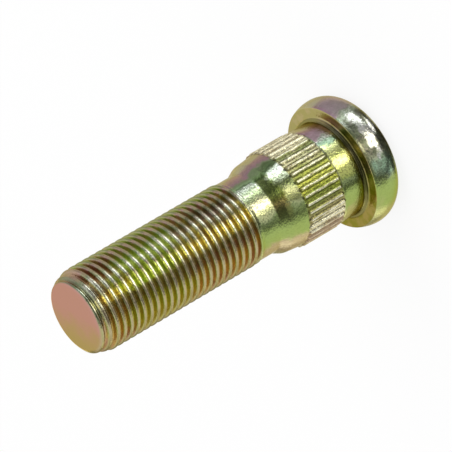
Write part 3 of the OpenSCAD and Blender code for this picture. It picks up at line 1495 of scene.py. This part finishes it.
@dataclass
class Studio:
    """A white floor and tent, with cards for lamps, gaps and shades, one soft key lamp and the camera."""

    facing: float
    aim_level: float = 31.57 * MM
    aim_drop: float = 0.66 * MM
    distance: float = 798.9 * MM
    elevation: float = 29.09
    roll: float = 120.27
    focal_pixels: float = 4534.7
    picture_pixels: float = 452.0
    sensor_width: float = 36.0
    floor_half: float = 4.0
    floor_drop: float = 0.02 * MM
    floor_colour: Colour = (0.93, 0.93, 0.93)
    floor_white_share: float = 0.85
    tent_level: float = 0.92
    key_size: float = 0.8
    key_energy: float = 3.0
    key_turn: float = 70.0
    key_reach: float = 0.7
    key_height: float = 1.1
    cards: tuple[Card, ...] = (
        Card("camera_gap", -62, 62, 11, 78, 0.18, distance=1.2),
        Card("cool_lamp", 42, 65, -49, -10, 1.0, COOL, 1.4),
        Card("cool_core", 46, 62, -47, -12, 3.0, COOL, 1.35),
        Card("cool_top", 47, 62, -10, 12, 2.2, COOL, 1.4),
        Card("warm_lamp", -5, 18, -49, -10, 1.4, WARM, 1.4),
        Card("warm_core", -2, 14, -47, -12, 3.8, WARM, 1.35),
        Card("warm_top", -2, 12, -10, 12, 2.4, WARM, 1.4),
        Card("warm_crest", -2, 11, 12, 46, 0.9, WARM, 1.1),
        Card("gap", 12, 47, -49, 12, 0.36),
        Card("side_gap", -44, -2, -49, 14, 0.66),
        Card("dark_side", -62, -44, -49, 14, 0.14),
        Card("grey_side", 70, 119, -74, 60, 0.55),
        Card("near_shade", -62, 66, -62, -49, 0.12),
        Card("under_shade", 0, 360, -89, -62, 0.10, distance=1.3),
        Card("far_shade", 174, 194, -62, -48, 0.10, distance=1.3),
        Card("low_streak", 30, 78, -75, -60, 2.4, distance=1.0),
        Card("back_cool_lamp", 232, 248, -24, 14, 1.7, COOL, 1.4),
        Card("back_warm_lamp", 171, 193, -9, 10, 1.7, WARM, 1.4),
        Card("back_gap", 192, 233, -24, 18, 0.60),
    )

    def floor(self) -> None:
        """Lays the white floor."""
        half, low = self.floor_half, -self.floor_drop
        corners = [(-half, -half, low), (half, -half, low), (half, half, low), (-half, half, low)]
        data = bpy.data.meshes.new("floor")
        data.from_pydata(corners, [], [(0, 1, 2, 3)])
        material, weave = bare_material("white_floor")
        matt = weave.node("ShaderNodeBsdfDiffuse")
        matt.inputs["Color"].default_value = (*self.floor_colour, 1.0)
        white = weave.node("ShaderNodeEmission")
        seen = weave.node("ShaderNodeLightPath").outputs["Is Camera Ray"]
        surface = weave.node("ShaderNodeMixShader")
        weave.feed(surface.inputs[0], weave.times(seen, self.floor_white_share))
        weave.feed(surface.inputs[1], matt.outputs[0])
        weave.feed(surface.inputs[2], white.outputs[0])
        weave.feed(weave.node("ShaderNodeOutputMaterial").inputs["Surface"], surface.outputs[0])
        data.materials.append(material)
        floor = linked_object("floor", data)
        floor.visible_glossy = False

    def world(self) -> None:
        """Surrounds the bolt with an even white tent."""
        world = bpy.data.worlds.new("white_tent")
        world.use_nodes = True
        background = world.node_tree.nodes["Background"]
        background.inputs["Color"].default_value = (*WHITE, 1.0)
        background.inputs["Strength"].default_value = self.tent_level
        bpy.context.scene.world = world

    def key(self) -> None:
        """Hangs one soft lamp above, for the shadow on the floor."""
        lamp = bpy.data.lights.new("key", "AREA")
        lamp.shape = "DISK"
        lamp.size = self.key_size
        lamp.energy = self.key_energy
        holder = linked_object("key", lamp)
        turn = self.facing + math.radians(self.key_turn)
        holder.location = (self.key_reach * math.cos(turn), self.key_reach * math.sin(turn), self.key_height)
        holder.rotation_euler = (-holder.location).to_track_quat("-Z", "Y").to_euler()
        holder.visible_glossy = False

    def camera(self) -> None:
        """Sets the camera at the photograph's viewing angle, rolled so that the tip points down left."""
        rise = math.radians(self.elevation)
        level = math.cos(rise)
        away = Vector((level * math.cos(self.facing), level * math.sin(self.facing), math.sin(rise)))
        upright = away.to_track_quat("Z", "Y").to_matrix().to_4x4()
        turned = upright @ Matrix.Rotation(-math.radians(self.roll), 4, "Z")
        lens = bpy.data.cameras.new("camera")
        lens.sensor_width = self.sensor_width
        lens.lens = self.sensor_width * self.focal_pixels / self.picture_pixels
        lens.clip_start, lens.clip_end = 0.01, 20.0
        up = turned.to_3x3() @ Vector((0.0, 1.0, 0.0))
        place = Vector((0.0, 0.0, self.aim_level)) + away * self.distance + up * self.aim_drop
        camera = linked_object("camera", lens)
        camera.matrix_world = Matrix.Translation(place) @ turned
        bpy.context.scene.camera = camera

    def build(self) -> None:
        """Sets up the whole studio."""
        self.floor()
        self.world()
        for card in self.cards:
            card.build(math.degrees(self.facing))
        self.key()
        self.camera()
        bpy.context.scene.view_settings.view_transform = "Standard"
        LOG.info("studio: %d cards", len(self.cards))


def main() -> None:
    """Builds the bolt and the studio."""
    logging.basicConfig(level=logging.INFO, format="%(name)s: %(message)s")
    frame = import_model()
    facing = math.radians(PHOTO_AZIMUTH)
    bolt = WheelBolt(BoltSizes.from_frame(frame), facing).build()
    LOG.info("%s: %d points", bolt.name, len(bolt.data.vertices))
    Studio(facing).build()


if __name__ == "__main__":
    main()
